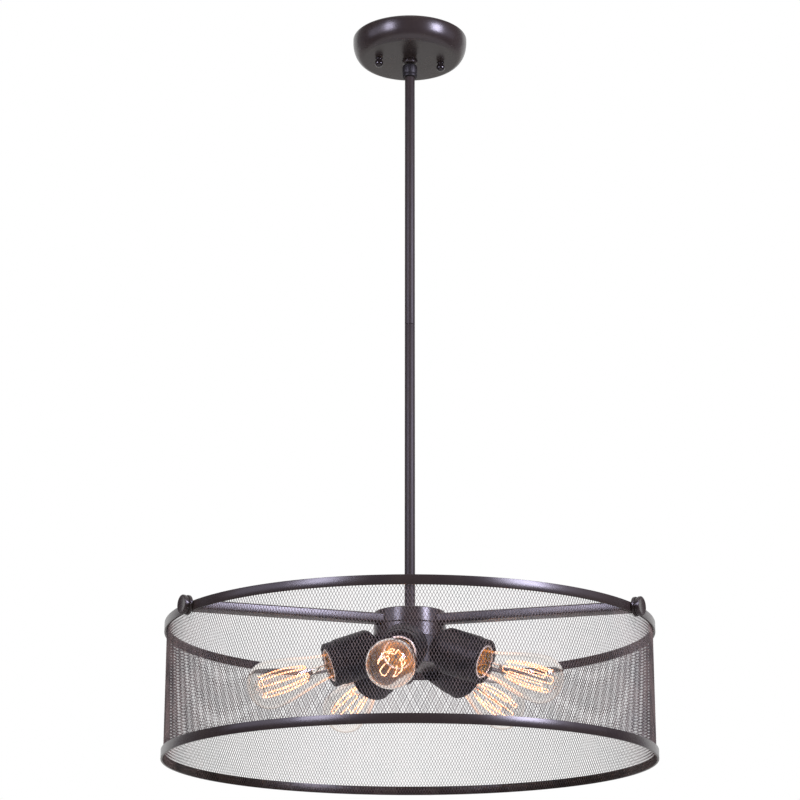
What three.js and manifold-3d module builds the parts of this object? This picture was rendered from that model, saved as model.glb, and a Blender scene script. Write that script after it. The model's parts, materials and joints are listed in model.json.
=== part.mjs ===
// Drum chandelier with an expanded metal wall: a canopy, a swivel, two stems, a hub with three arms
// that carry the drum, and five downward tilted sockets with clear filament bulbs.
// Millimetres, +Z up, origin on the ceiling at the middle of the canopy.
import * as THREE from "three";
import { mergeVertices } from "three/addons/utils/BufferGeometryUtils.js";
import Module from "manifold-3d";

const wasm = await Module();
wasm.setup();

// Clearances and cuts
const gap = 0.3;
const overrun = 4;
const vertexMerge = 0.001;

// Roundness of turned pieces, in sides
const wallColumns = 32;
const drumSides = 2 * wallColumns;
const wideSides = 32;
const middleSides = 16;
const smallSides = 12;
const tinySides = 8;
const wireSides = 3;

// Ceiling end
const canopyRadius = 63.5;
const canopyDepth = 25;
const canopyFaceRadius = 55;
const canopyRimHeight = 3;
const canopyWall = 1.2;
const canopyTurn = THREE.MathUtils.degToRad(9.5);
const crossbarLength = 101.6;
const crossbarWidth = 20;
const crossbarThickness = 2;
const boxSlotSpacing = 84;
const boxSlotLength = 9;
const boxSlotWidth = 4.6;
const canopyStudSpacing = 69.85;
const canopyStudRadius = 2.1;
const lockNutRadius = 4.6;
const lockNutHeight = 3;
const ballNutRadius = 4.75;
const ballNutCollarRadius = 3.4;
const ballNutDrop = 5.6;
const ballNutBoreDepth = 8.6;

// Swivel under the canopy
const pivotDrop = 12;
const pivotDepth = canopyDepth + pivotDrop;
const ballRadius = 4.8;
const ballNeckRadius = 2.6;
const ballBoreRadius = 1.7;
const nippleRadius = 4.85;
const nippleNutRadius = 9;
const nippleNutHeight = 5;
const swivelRingRadius = 8;
const swivelRingDrop = 4;
const swivelFlangeOverlap = 2.2;
const swivelFlangeHeight = 2;
const swivelGroove = 2.1;
const canopyHoleRadius = swivelRingRadius + gap + gap;
const seatWall = 1.2;
const seatTopRise = 3.2;
const seatBottomDrop = 2.5;
const barrelRadius = 8.25;
const barrelChamfer = 2;
const barrelDrop = 9;
const barrelBottomDepth = pivotDepth + barrelDrop;
const barrelTaperHeight = 5;
const barrelTaperInset = 1.6;
const barrelMouthRadius = 5.4;

// Stems
const rodRadius = 5.5;
const rodBoreRadius = 3.9;
const rodInsertion = 3.4;
const rodJointDepth = 337.6;
const joinerBoreRadius = 2.3;
const joinerLength = 36;
const wireRadius = 1.5;

// Drum
const drumTopDepth = 670.6;
const drumRadius = 254;
const drumHeight = 140;
const bandHeight = 9.5;
const bandThickness = 2;
const wallThickness = 1;
const wallInset = 0.5;
const wallHalfRows = 3;
const wallStrand = 3.2;

// Arms and their knobs
const armCount = 3;
const firstArmTurn = THREE.MathUtils.degToRad(91);
const armWidth = 19;
const armHeight = 9.5;
const armChamfer = 1.5;
const armStartRadius = 17;
const armSeatClearance = 0.35;
const knobDrop = 3.5;
const knobStudRadius = 2;
const knobStudInsertion = 15;
const knobRadius = 9.8;
const knobLength = 8.5;
const knobFlange = 3;
const knobGrooveInset = 1.6;
const knobEdge = 1;
const knobBoreDepth = 5.5;

// Hub
const armHubRadius = 37.4;
const armHubHeight = 15;
const armHubRise = 1;
const hubWall = 2.5;
const hubSeamStep = 0.5;
const socketHubRadius = armHubRadius + hubSeamStep;
const socketHubHeight = 42;
const coverThickness = 1.6;
const hickeyRadius = 9;
const hickeyHeight = 33;
const hickeyRingHeight = 9;
const hickeyWindowWidth = 11;
const rodThreadLength = 8;
const finialRadius = 10;
const finialHeight = 4;
const finialShankRadius = 2.8;
const finialShankLength = 17;

// Sockets, measured outwards along each socket's axis from its mouth
const socketCount = 5;
const firstSocketTurn = THREE.MathUtils.degToRad(262.7);
const socketTilt = THREE.MathUtils.degToRad(20);
const mouthRadius = 85;
const mouthDrop = 42.5;
const cupRadius = 23.4;
const cupStepLength = 12;
const cupStepInset = 0.9;
const cupStraight = 44;
const cupShoulderLength = 9;
const cupShoulderInset = 9;
const cupBoreRadius = 4;
const holderRadius = 17;
const holderDepth = 38;
const holderFloor = 4;
const holderRecess = 1;

// Bulbs, with a 26.4 mm screw base
const baseRadius = 13.2;
const baseWall = 0.6;
const baseLength = 25;
const baseConeLength = 4;
const baseTipRadius = 7;
const baseCupDepth = 19;
const contactRadius = 4.6;
const contactHeight = 2.4;
const glassWall = 0.9;
const glassRadius = 24.8;
const glassLength = 88;
const glassWidestLength = 65;
const glassSwellLength = 25;
const glassNeckInsertion = 7;
const stemGlassRadius = 2.4;
const flareLength = 14;
const cageNearLength = 19;
const cageFarLength = 72;
const cageNearRadius = 5.5;
const cageFarRadius = 12.5;
const filamentRadius = 0.55;
const supportRadius = 0.6;
const cageLegs = 8;

// Finishes
const finish = (color, roughness, metalness) =>
  new THREE.MeshStandardMaterial({ color, roughness, metalness });
const bronze = finish(0x3a312f, 0.4, 0.6);
const meshBronze = finish(0x383130, 0.5, 0.5);
const steel = finish(0xa9a9ad, 0.35, 0.9);
const blackPlastic = finish(0x231f20, 0.55, 0);
const brass = finish(0xb9924a, 0.3, 0.95);
const glowFilament = finish(0xffb060, 0.4, 0.2);
const rubber = finish(0x1c1c1e, 0.8, 0);
const clearGlass = finish(0xf6efe2, 0.05, 0);
clearGlass.transparent = true;
clearGlass.opacity = 0.35;

// Closed geometry to a solid and back
function solidOf(geometry) {
  const bare = geometry.index ? geometry.toNonIndexed() : geometry.clone();
  bare.deleteAttribute("normal");
  bare.deleteAttribute("uv");
  const merged = mergeVertices(bare, vertexMerge);
  const data = {
    numProp: 3,
    vertProperties: merged.attributes.position.array,
    triVerts: new Uint32Array(merged.index.array),
  };
  return new wasm.Manifold(new wasm.Mesh(data));
}

function geometryOf(solid) {
  const { vertProperties, triVerts } = solid.getMesh();
  const geometry = new THREE.BufferGeometry();
  geometry.setAttribute("position", new THREE.BufferAttribute(vertProperties, 3));
  geometry.setIndex(new THREE.BufferAttribute(triVerts, 1));
  geometry.computeVertexNormals();
  return geometry;
}

function cut(geometry, ...tools) {
  return geometryOf(tools.reduce((left, tool) => left.subtract(solidOf(tool)), solidOf(geometry)));
}

function join(geometry, ...others) {
  return geometryOf(others.reduce((sum, other) => sum.add(solidOf(other)), solidOf(geometry)));
}

// A turned solid about Z: [radius, height] points listed upwards on the outside
function turned(points, sides) {
  const profile = points.map(([radius, height]) => new THREE.Vector2(radius, height));
  return new THREE.LatheGeometry(profile, sides).rotateX(Math.PI / 2);
}

function rod(radius, low, high, sides) {
  const outline = [
    [0, low],
    [radius, low],
    [radius, high],
    [0, high],
  ];
  return turned(outline, sides);
}

function pipe(inner, outer, low, high, sides) {
  const outline = [
    [inner, low],
    [outer, low],
    [outer, high],
    [inner, high],
    [inner, low],
  ];
  return turned(outline, sides);
}

function block(width, depth, low, high) {
  const middle = (low + high) / 2;
  return new THREE.BoxGeometry(width, depth, high - low).translate(0, 0, middle);
}

// Points of a circle's arc in a turned profile, from one angle above the horizontal to another
function arc(centreRadius, centreHeight, radius, fromAngle, toAngle, steps) {
  const points = [];
  for (let step = 0; step <= steps; step++) {
    const angle = THREE.MathUtils.lerp(fromAngle, toAngle, step / steps);
    points.push([centreRadius + radius * Math.cos(angle), centreHeight + radius * Math.sin(angle)]);
  }
  return points;
}

function add(group, name, geometry, material) {
  const mesh = new THREE.Mesh(geometry, material);
  mesh.name = name;
  group.add(mesh);
  return mesh;
}

function subgroup(parent, place) {
  const group = new THREE.Group();
  place(group);
  parent.add(group);
  return group;
}

// Crossbar with its centre hole, two stud holes and two slots for the box screws
function crossbar() {
  const plate = block(crossbarLength, crossbarWidth, -crossbarThickness, 0);
  const cutLow = -crossbarThickness - overrun;
  const tools = [rod(nippleRadius + gap, cutLow, overrun, smallSides)];
  for (const side of [-1, 1]) {
    const studHole = rod(canopyStudRadius + gap, cutLow, overrun, tinySides);
    tools.push(studHole.translate((side * canopyStudSpacing) / 2, 0, 0));
    const slot = block(boxSlotLength, boxSlotWidth, cutLow, overrun);
    tools.push(slot.translate((side * boxSlotSpacing) / 2, 0, 0));
  }
  return cut(plate, ...tools);
}

function canopyStud() {
  const low = -canopyDepth - ballNutBoreDepth + gap + gap;
  const shank = rod(canopyStudRadius, low, -gap, tinySides);
  const nutTop = -crossbarThickness - gap;
  return join(shank, rod(lockNutRadius, nutTop - lockNutHeight, nutTop, 6));
}

// A domed shell: flat face below, elliptical shoulder, short upright rim
function canopy() {
  const steps = 5;
  const shell = (radius, faceRadius, depth, rimHeight) => {
    const points = [];
    for (let step = 0; step <= steps; step++) {
      const angle = (step / steps) * (Math.PI / 2);
      const across = faceRadius + (radius - faceRadius) * Math.sin(angle);
      points.push([across, -rimHeight - (depth - rimHeight) * Math.cos(angle)]);
    }
    points.push([radius, 0]);
    return points;
  };
  const outer = shell(canopyRadius, canopyFaceRadius, canopyDepth, canopyRimHeight);
  const innerDepth = canopyDepth - canopyWall;
  const inner = shell(canopyRadius - canopyWall, canopyFaceRadius, innerDepth, canopyRimHeight);
  const outline = [
    [canopyHoleRadius, -canopyDepth],
    ...outer,
    ...inner.reverse(),
    [canopyHoleRadius, -innerDepth],
    [canopyHoleRadius, -canopyDepth],
  ];
  const studHole = (side) => {
    const low = -canopyDepth - overrun;
    const tool = rod(canopyStudRadius + gap, low, low + overrun + overrun, tinySides);
    return tool.translate((side * canopyStudSpacing) / 2, 0, 0);
  };
  return cut(turned(outline, wideSides), studHole(-1), studHole(1));
}

function ballNut() {
  const top = -canopyDepth - gap;
  const ballHeight = -canopyDepth - ballNutDrop;
  const seam = Math.acos(ballNutCollarRadius / ballNutRadius);
  const boreRadius = canopyStudRadius + gap;
  const boreFloor = -canopyDepth - ballNutBoreDepth;
  const outline = [
    ...arc(0, ballHeight, ballNutRadius, -Math.PI / 2, seam, 5),
    [ballNutCollarRadius, top],
    [boreRadius, top],
    [boreRadius, boreFloor],
    [0, boreFloor],
  ];
  return turned(outline, smallSides);
}

// How far the ring under the canopy's face reaches down
function swivelRingLow() {
  return -canopyDepth - swivelRingDrop;
}

// Nut, hollow nipple, flange inside the canopy, ring through its hole and ball in one piece, open from
// end to end for the wires
function swivelBallStud() {
  const nutTop = -crossbarThickness - gap;
  const ringLow = swivelRingLow();
  const flangeLow = -canopyDepth + canopyWall + gap;
  const flangeHigh = flangeLow + swivelFlangeHeight;
  const flangeRadius = canopyHoleRadius + swivelFlangeOverlap;
  const pole = Math.acos(ballBoreRadius / ballRadius);
  const neck = Math.acos(ballNeckRadius / ballRadius);
  const outline = [
    ...arc(0, -pivotDepth, ballRadius, -pole, neck, 6),
    [ballNeckRadius, ringLow],
    [swivelRingRadius, ringLow],
    [swivelRingRadius, flangeLow],
    [flangeRadius, flangeLow],
    [flangeRadius, flangeHigh],
    [nippleRadius, flangeHigh],
    [nippleRadius, -gap],
    [ballBoreRadius, -gap],
    [ballBoreRadius, -pivotDepth - ballRadius * Math.sin(pole)],
  ];
  const bore = nippleRadius - gap;
  const nut = pipe(bore, nippleNutRadius, nutTop - nippleNutHeight, nutTop, 6);
  return join(turned(outline, smallSides), nut);
}

// The ring that the ball rests in, free to turn inside the barrel
function swivelSeat() {
  const inner = ballRadius + gap;
  const outer = inner + seatWall;
  const from = (radius) => -Math.asin(seatBottomDrop / radius);
  const to = (radius) => Math.asin(seatTopRise / radius);
  const outside = arc(0, -pivotDepth, outer, from(outer), to(outer), 4);
  const inside = arc(0, -pivotDepth, inner, to(inner), from(inner), 4);
  return turned([...outside, ...inside, outside[0]], smallSides);
}

function swivelBarrel() {
  const cavity = ballRadius + gap + seatWall + gap;
  const top = swivelRingLow() - swivelGroove;
  const bottom = -barrelBottomDepth;
  const boreRadius = rodRadius + gap;
  const mouthAngle = Math.acos(barrelMouthRadius / cavity);
  const boreAngle = -Math.acos(boreRadius / cavity);
  const outline = [
    [boreRadius, bottom],
    [barrelRadius - barrelTaperInset, bottom],
    [barrelRadius, bottom + barrelTaperHeight],
    [barrelRadius, top - barrelChamfer],
    [barrelRadius - barrelChamfer, top],
    [barrelMouthRadius, top],
    ...arc(0, -pivotDepth, cavity, mouthAngle, boreAngle, 5),
    [boreRadius, bottom],
  ];
  return turned(outline, middleSides);
}

function rodJoiner() {
  const half = joinerLength / 2;
  const outer = rodBoreRadius - gap;
  return pipe(joinerBoreRadius, outer, -rodJointDepth - half, -rodJointDepth + half, smallSides);
}

// Drum wall: one sheet of staggered upright diamonds between two plain edges, wrapped to a ring
function expandedWall() {
  const outer = drumRadius - bandThickness - gap;
  const inner = outer - wallThickness;
  const bottom = -drumHeight + wallInset;
  const top = -wallInset;
  const edge = bandHeight - wallInset + gap;
  const halfColumns = 2 * wallColumns;
  const halfWidth = (2 * Math.PI * outer) / halfColumns;
  const halfHeight = (top - bottom - 2 * edge) / wallHalfRows;
  const slant = Math.hypot(halfWidth, halfHeight);
  const holeWidthShare = 1 - (wallStrand * slant) / (2 * halfHeight * halfWidth);
  const holeHeightShare = holeWidthShare;
  const positions = [];
  const place = ([u, z], radius) => {
    const angle = (u / halfColumns) * 2 * Math.PI;
    return [radius * Math.cos(angle), radius * Math.sin(angle), z];
  };
  const face = (...corners) => {
    for (let i = 1; i < corners.length - 1; i++) {
      for (const corner of [corners[0], corners[i], corners[i + 1]]) {
        positions.push(...place(corner, outer));
      }
      for (const corner of [corners[0], corners[i + 1], corners[i]]) {
        positions.push(...place(corner, inner));
      }
    }
  };
  const side = (from, to) => {
    const quad = [place(from, outer), place(from, inner), place(to, inner), place(to, outer)];
    positions.push(...quad[0], ...quad[1], ...quad[2], ...quad[0], ...quad[2], ...quad[3]);
  };
  const panel = (column, row) => {
    const low = bottom + edge + row * halfHeight;
    const flipped = (column + row) % 2 === 1;
    const at = (u, v) => [column + (flipped ? 1 - u : u), low + v * halfHeight];
    const corners = [
      at(holeWidthShare, 0),
      at(1, 0),
      at(1, 1 - holeHeightShare),
      at(1 - holeWidthShare, 1),
      at(0, 1),
      at(0, holeHeightShare),
    ];
    if (flipped) {
      face(...[...corners].reverse());
      side(corners[0], corners[5]);
      side(corners[3], corners[2]);
    } else {
      face(...corners);
      side(corners[5], corners[0]);
      side(corners[2], corners[3]);
    }
  };
  const edgeStrip = (column, high) => {
    const near = high ? top - edge : bottom + edge;
    const far = high ? top : bottom;
    const holeAtLeft = (column + (high ? wallHalfRows : 0)) % 2 === 0;
    const split = column + (holeAtLeft ? holeWidthShare : 1 - holeWidthShare);
    const ring = [
      [column, far],
      [column + 1, far],
      [column + 1, near],
      [split, near],
      [column, near],
    ];
    const gapEdge = holeAtLeft ? [[split, near], [column, near]] : [[column + 1, near], [split, near]];
    if (high) {
      face(...ring.reverse());
      side([column + 1, far], [column, far]);
      side(gapEdge[1], gapEdge[0]);
    } else {
      face(...ring);
      side([column, far], [column + 1, far]);
      side(gapEdge[0], gapEdge[1]);
    }
  };
  for (let column = 0; column < halfColumns; column++) {
    for (let row = 0; row < wallHalfRows; row++) {
      panel(column, row);
    }
    edgeStrip(column, false);
    edgeStrip(column, true);
  }
  const sheet = new THREE.BufferGeometry();
  sheet.setAttribute("position", new THREE.Float32BufferAttribute(positions, 3));
  return cut(sheet, ...studHoles());
}

// One radial hole for each knob stud, from outside the drum to inside it
function studHoles() {
  const holes = [];
  for (let arm = 0; arm < armCount; arm++) {
    const low = drumRadius - knobLength;
    const tool = rod(knobStudRadius + gap, low, drumRadius + overrun, tinySides);
    tool.rotateY(Math.PI / 2).translate(0, 0, -knobDrop);
    holes.push(tool.rotateZ(armTurn(arm)));
  }
  return holes;
}

function armTurn(arm) {
  return firstArmTurn + (arm / armCount) * 2 * Math.PI;
}

function band(low) {
  const inner = drumRadius - bandThickness;
  return pipe(inner, drumRadius, low, low + bandHeight, drumSides);
}

// Where an arm ends inside the drum wall, clear of the wall's flat facets and its own corners
function armEndRadius() {
  const wallInner = drumRadius - bandThickness - gap - wallThickness;
  const facetInner = wallInner * Math.cos(Math.PI / drumSides) - gap;
  return Math.sqrt(facetInner ** 2 - (armWidth / 2) ** 2);
}

// Height of an arm's middle where it passes over the lower hub's edge, just clear of it
function armSeatHeight() {
  return armHubRise - gap + armSeatClearance + armHeight / 2;
}

function armSlope() {
  return Math.atan2(armSeatHeight() + knobDrop, armEndRadius() - socketHubRadius);
}

// A bar of chamfered section along +X that falls from the hub to the height of its knob
function armBar(margin) {
  const halfWidth = armWidth / 2 + margin;
  const halfHeight = armHeight / 2 + margin;
  const section = new THREE.Shape();
  section.moveTo(-halfWidth + armChamfer, -halfHeight);
  section.lineTo(halfWidth - armChamfer, -halfHeight);
  section.lineTo(halfWidth, -halfHeight + armChamfer);
  section.lineTo(halfWidth, halfHeight - armChamfer);
  section.lineTo(halfWidth - armChamfer, halfHeight);
  section.lineTo(-halfWidth + armChamfer, halfHeight);
  section.lineTo(-halfWidth, halfHeight - armChamfer);
  section.lineTo(-halfWidth, -halfHeight + armChamfer);
  const start = armStartRadius - margin;
  const bar = new THREE.ExtrudeGeometry(section, {
    depth: armEndRadius() - start + overrun,
    bevelEnabled: false,
  });
  bar.rotateX(Math.PI / 2).rotateZ(Math.PI / 2);
  bar.translate(start - armEndRadius(), 0, 0);
  return bar.rotateY(armSlope()).translate(armEndRadius(), 0, -knobDrop);
}

function arm() {
  const end = armEndRadius();
  const tall = knobDrop + armHeight + overrun;
  const deep = armHeight + overrun;
  const trim = block(deep, armWidth + overrun, -tall, tall).translate(end + deep / 2, 0, 0);
  const bore = rod(knobStudRadius + gap, end - knobStudInsertion - gap, end + overrun, tinySides);
  bore.rotateY(Math.PI / 2).translate(0, 0, -knobDrop);
  return cut(armBar(0), trim, bore);
}

function knobStud() {
  const low = armEndRadius() - knobStudInsertion;
  const high = drumRadius + gap + knobBoreDepth - gap;
  return rod(knobStudRadius, low, high, tinySides);
}

// A thumb knob: two flanges with a groove between, bored blind from the drum's side
function knob() {
  const low = drumRadius + gap;
  const high = low + knobLength;
  const boreRadius = knobStudRadius + gap;
  const outline = [
    [0, low + knobBoreDepth],
    [boreRadius, low + knobBoreDepth],
    [boreRadius, low],
    [knobRadius, low],
    [knobRadius, low + knobFlange],
    [knobRadius - knobGrooveInset, low + knobFlange],
    [knobRadius - knobGrooveInset, high - knobFlange],
    [knobRadius, high - knobFlange],
    [knobRadius, high - knobEdge],
    [knobRadius - knobEdge, high],
    [0, high],
  ];
  return turned(outline, middleSides);
}

// The upper hub: a cap over the arms' roots, notched from below for each arm
function armHub() {
  const low = armHubRise;
  const high = low + armHubHeight;
  const boreRadius = rodRadius + gap;
  const outline = [
    [armHubRadius - hubWall, low],
    [armHubRadius, low],
    [armHubRadius, high],
    [boreRadius, high],
    [boreRadius, high - hubWall],
    [armHubRadius - hubWall, high - hubWall],
    [armHubRadius - hubWall, low],
  ];
  const notches = [];
  for (let index = 0; index < armCount; index++) {
    const shape = armBar(gap);
    const below = block(armHubRadius, armWidth + gap + gap, -overrun, armSeatHeight());
    below.translate(armHubRadius, 0, 0);
    notches.push(shape.rotateZ(armTurn(index)), below.rotateZ(armTurn(index)));
  }
  return cut(turned(outline, wideSides), ...notches);
}

// The lower hub: a deep cap open below, with a wire hole behind each socket
function socketHub() {
  const high = armHubRise - gap;
  const low = high - socketHubHeight;
  const boreRadius = rodRadius + gap;
  const outline = [
    [socketHubRadius - hubWall, low],
    [socketHubRadius, low],
    [socketHubRadius, high],
    [boreRadius, high],
    [boreRadius, high - hubWall],
    [socketHubRadius - hubWall, high - hubWall],
    [socketHubRadius - hubWall, low],
  ];
  const holes = [];
  for (let index = 0; index < socketCount; index++) {
    const hole = rod(cupBoreRadius, socketHubRadius / 2, socketHubRadius + overrun, tinySides);
    holes.push(intoSocketFrame(hole).rotateZ(socketTurn(index)));
  }
  return cut(turned(outline, wideSides), ...holes);
}

function socketTurn(index) {
  return firstSocketTurn + (index / socketCount) * 2 * Math.PI;
}

// The height where every socket's axis meets the stem's line, below the drum's top edge
function apexHeight() {
  return -mouthDrop + mouthRadius * Math.tan(socketTilt);
}

// Distance along a socket's axis from that point to the mouth
function mouthDistance() {
  return mouthRadius / Math.cos(socketTilt);
}

function intoSocketFrame(geometry) {
  return geometry.rotateY(Math.PI / 2 + socketTilt).translate(0, 0, apexHeight());
}

// A yoke nut: the stem screws in above, the finial below, and the wires leave at its sides
function hickey() {
  const high = armHubRise - gap - hubWall - gap;
  const low = high - hickeyHeight;
  const body = rod(hickeyRadius, low, high, 6);
  const windowTop = high - hickeyRingHeight;
  const windowBottom = low + hickeyRingHeight;
  const upper = rod(rodRadius + gap, windowTop - overrun, high + overrun, smallSides);
  const across = 2 * (hickeyRadius + overrun);
  const window = block(across, hickeyWindowWidth, windowBottom, windowTop);
  const lower = rod(finialShankRadius + gap, low - overrun, windowBottom + overrun, tinySides);
  return cut(body, upper, window, lower);
}

function hubCover() {
  const high = armHubRise - gap - socketHubHeight + coverThickness;
  const inner = finialShankRadius + gap;
  return pipe(inner, socketHubRadius - hubWall - gap, high - coverThickness, high, wideSides);
}

function finial() {
  const seat = armHubRise - gap - socketHubHeight - gap;
  const high = seat + finialShankLength;
  const outline = [
    ...arc(0, seat, finialHeight, -Math.PI / 2, 0, 4).map(([radius, height]) => [
      (radius / finialHeight) * finialRadius,
      height,
    ]),
    [finialShankRadius, seat],
    [finialShankRadius, high],
    [0, high],
  ];
  return turned(outline, smallSides);
}

function stemWire() {
  const top = -barrelBottomDepth + rodInsertion;
  const bottom = -drumTopDepth + armHubRise - hubWall - hickeyHeight / 2;
  return rod(wireRadius, bottom, top, tinySides);
}

// A socket cup: front step, straight body and a rounded shoulder shaped to the hub's side
function socketCup() {
  const mouth = mouthDistance();
  const back = mouth - cupStraight;
  const end = back - cupShoulderLength - overrun;
  const bore = holderRadius + gap;
  const floor = mouth - holderDepth - gap;
  const steps = 3;
  const shoulder = [];
  for (let step = 1; step <= steps; step++) {
    const angle = (1 - step / steps) * (Math.PI / 2);
    const inset = cupShoulderInset * (1 - Math.sin(Math.PI / 2 - angle));
    shoulder.push([cupRadius - inset, back - cupShoulderLength * Math.sin(angle)]);
  }
  const outline = [
    [cupBoreRadius, end],
    [cupRadius - cupShoulderInset, end],
    ...shoulder,
    [cupRadius, mouth - cupStepLength],
    [cupRadius - cupStepInset, mouth - cupStepLength],
    [cupRadius - cupStepInset, mouth],
    [bore, mouth],
    [bore, floor],
    [cupBoreRadius, floor],
    [cupBoreRadius, end],
  ];
  const tall = socketHubHeight + cupRadius;
  const hub = rod(socketHubRadius + gap, -tall, tall, wideSides);
  return cut(turned(outline, middleSides), hub.rotateY(-Math.PI / 2 - socketTilt));
}

function lampholder() {
  const mouth = mouthDistance() - holderRecess;
  const end = mouthDistance() - holderDepth;
  const inner = baseRadius + gap;
  const floor = end + holderFloor;
  const outline = [
    [0, end],
    [holderRadius, end],
    [holderRadius, mouth],
    [inner, mouth],
    [inner, floor],
    [0, floor],
  ];
  return turned(outline, middleSides);
}

function holderFloorDistance() {
  return mouthDistance() - holderDepth + holderFloor;
}

function bulbContact() {
  const low = holderFloorDistance() + gap;
  return rod(contactRadius, low, low + contactHeight, smallSides);
}

function baseEndDistance() {
  return holderFloorDistance() + gap + contactHeight + gap;
}

// A screw base: insulating cone, shell and the cup that grips the glass
function bulbBase() {
  const low = baseEndDistance();
  const high = low + baseLength;
  const inner = baseRadius - baseWall;
  const outline = [
    [0, low],
    [baseTipRadius, low],
    [baseRadius, low + baseConeLength],
    [baseRadius, high],
    [inner, high],
    [inner, high - baseCupDepth],
    [0, high - baseCupDepth],
  ];
  return turned(outline, middleSides);
}

// Bulb outline from its neck to its tip, drawn in by the glass wall for the inside
function glassOutline(inset, steps) {
  const neckRadius = baseRadius - baseWall - gap - inset;
  const neckEnd = baseEndDistance() + baseLength - glassNeckInsertion;
  const widest = mouthDistance() + glassWidestLength;
  const reach = glassLength - glassWidestLength - inset;
  const swell = new THREE.CubicBezierCurve(
    new THREE.Vector2(neckRadius, neckEnd + glassNeckInsertion),
    new THREE.Vector2(neckRadius, neckEnd + glassNeckInsertion + glassSwellLength),
    new THREE.Vector2(glassRadius - inset, widest - glassSwellLength),
    new THREE.Vector2(glassRadius - inset, widest),
  );
  const side = swell.getPoints(steps).map((point) => [point.x, point.y]);
  const dome = arc(0, 0, 1, 0, Math.PI / 2, steps).map(([across, along]) => [
    across * (glassRadius - inset),
    widest + along * reach,
  ]);
  return [[neckRadius, neckEnd], ...side, ...dome.slice(1)];
}

function bulbGlass() {
  const outside = glassOutline(0, 4);
  const inside = glassOutline(glassWall, 3).reverse();
  return turned([...outside, ...inside, outside[0]], middleSides);
}

// A straight wire between two points
function strut(from, to, radius, sides) {
  const along = to.clone().sub(from);
  const piece = new THREE.CylinderGeometry(radius, radius, along.length() + radius, sides);
  const turn = new THREE.Quaternion();
  turn.setFromUnitVectors(new THREE.Vector3(0, 1, 0), along.clone().normalize());
  const middle = from.clone().add(to).multiplyScalar(1 / 2);
  return piece.applyQuaternion(turn).translate(middle.x, middle.y, middle.z);
}

// The filament: upright legs round a cage, joined in turn at the far and the near end, as one closed loop
function filamentCage(mouth) {
  const half = filamentRadius;
  const sections = [];
  for (let leg = 0; leg < cageLegs; leg++) {
    const angle = (leg / cageLegs) * 2 * Math.PI;
    const rising = leg % 2 === 0;
    const across = new THREE.Vector3(Math.cos(angle), Math.sin(angle), 0);
    const around = new THREE.Vector3(-Math.sin(angle), Math.cos(angle), 0);
    const ends = [
      [cageNearRadius, mouth + cageNearLength],
      [cageFarRadius, mouth + cageFarLength],
    ];
    for (const [radius, height] of rising ? ends : ends.reverse()) {
      const corner = (left, outward) => {
        const point = across.clone().multiplyScalar(radius + outward * half);
        point.addScaledVector(around, left * (rising ? -half : half));
        point.z = height + left * half;
        return point.toArray();
      };
      sections.push([corner(1, 1), corner(-1, 1), corner(-1, -1), corner(1, -1)]);
    }
  }
  const positions = [];
  sections.forEach((here, index) => {
    const next = sections[(index + 1) % sections.length];
    here.forEach((corner, k) => {
      const beside = (k + 1) % here.length;
      positions.push(...corner, ...here[beside], ...next[beside]);
      positions.push(...corner, ...next[beside], ...next[k]);
    });
  });
  const loop = new THREE.BufferGeometry();
  loop.setAttribute("position", new THREE.Float32BufferAttribute(positions, 3));
  return loop;
}

// Glass stem with its flare, a centre support, and the filament cage hung from both
function bulbMount() {
  const mouth = mouthDistance();
  const low = baseEndDistance() + baseLength - glassNeckInsertion + gap;
  const flareRadius = baseRadius - baseWall - gap - glassWall - gap;
  const near = mouth + cageNearLength;
  const far = mouth + cageFarLength;
  const outline = [
    [0, low],
    [flareRadius, low],
    [stemGlassRadius, low + flareLength],
    [stemGlassRadius, near],
    [0, near],
  ];
  const pieces = [filamentCage(mouth)];
  const at = (radius, angle, height) =>
    new THREE.Vector3(radius * Math.cos(angle), radius * Math.sin(angle), height);
  const halfStep = Math.PI / cageLegs;
  const reach = Math.cos(halfStep);
  pieces.push(strut(at(0, 0, near - cageNearLength / 2), at(0, 0, far), supportRadius, 4));
  for (const angle of [halfStep, halfStep + Math.PI]) {
    pieces.push(strut(at(0, 0, far), at(cageFarRadius * reach, angle, far), supportRadius, wireSides));
  }
  const leadAngle = 3 * halfStep;
  const leadEnd = at(cageNearRadius * reach, leadAngle, near);
  pieces.push(strut(at(0, 0, near - cageNearLength / 4), leadEnd, supportRadius, wireSides));
  return join(turned(outline, tinySides), ...pieces);
}

// Assembly
const chandelier = new THREE.Group();

const ceiling = subgroup(chandelier, (group) => group.rotateZ(canopyTurn));
add(ceiling, "crossbar", crossbar(), steel);
add(ceiling, "swivel_ball_stud", swivelBallStud(), bronze);
add(ceiling, "canopy", canopy(), bronze);
for (const [side, name] of [
  [-1, "left"],
  [1, "right"],
]) {
  const column = subgroup(ceiling, (group) => group.translateX((side * canopyStudSpacing) / 2));
  add(column, `canopy_stud_${name}`, canopyStud(), steel);
  add(column, `ball_nut_${name}`, ballNut(), bronze);
}

const stem = new THREE.Group();
chandelier.add(stem);
const stemSeam = gap / 2;
const hubRodEnd = armHubRise - gap - hubWall - gap - rodThreadLength;
add(stem, "swivel_seat", swivelSeat(), steel);
add(stem, "swivel_barrel", swivelBarrel(), bronze);
const upperTop = -barrelBottomDepth + rodInsertion;
const upperRod = pipe(rodBoreRadius, rodRadius, -rodJointDepth + stemSeam, upperTop, middleSides);
add(stem, "upper_rod", upperRod, bronze);
add(stem, "rod_joiner", rodJoiner(), steel);
const lowerEnd = -drumTopDepth + hubRodEnd;
const lowerRod = pipe(rodBoreRadius, rodRadius, lowerEnd, -rodJointDepth - stemSeam, middleSides);
add(stem, "lower_rod", lowerRod, bronze);
add(stem, "stem_wire", stemWire(), rubber);

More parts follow.
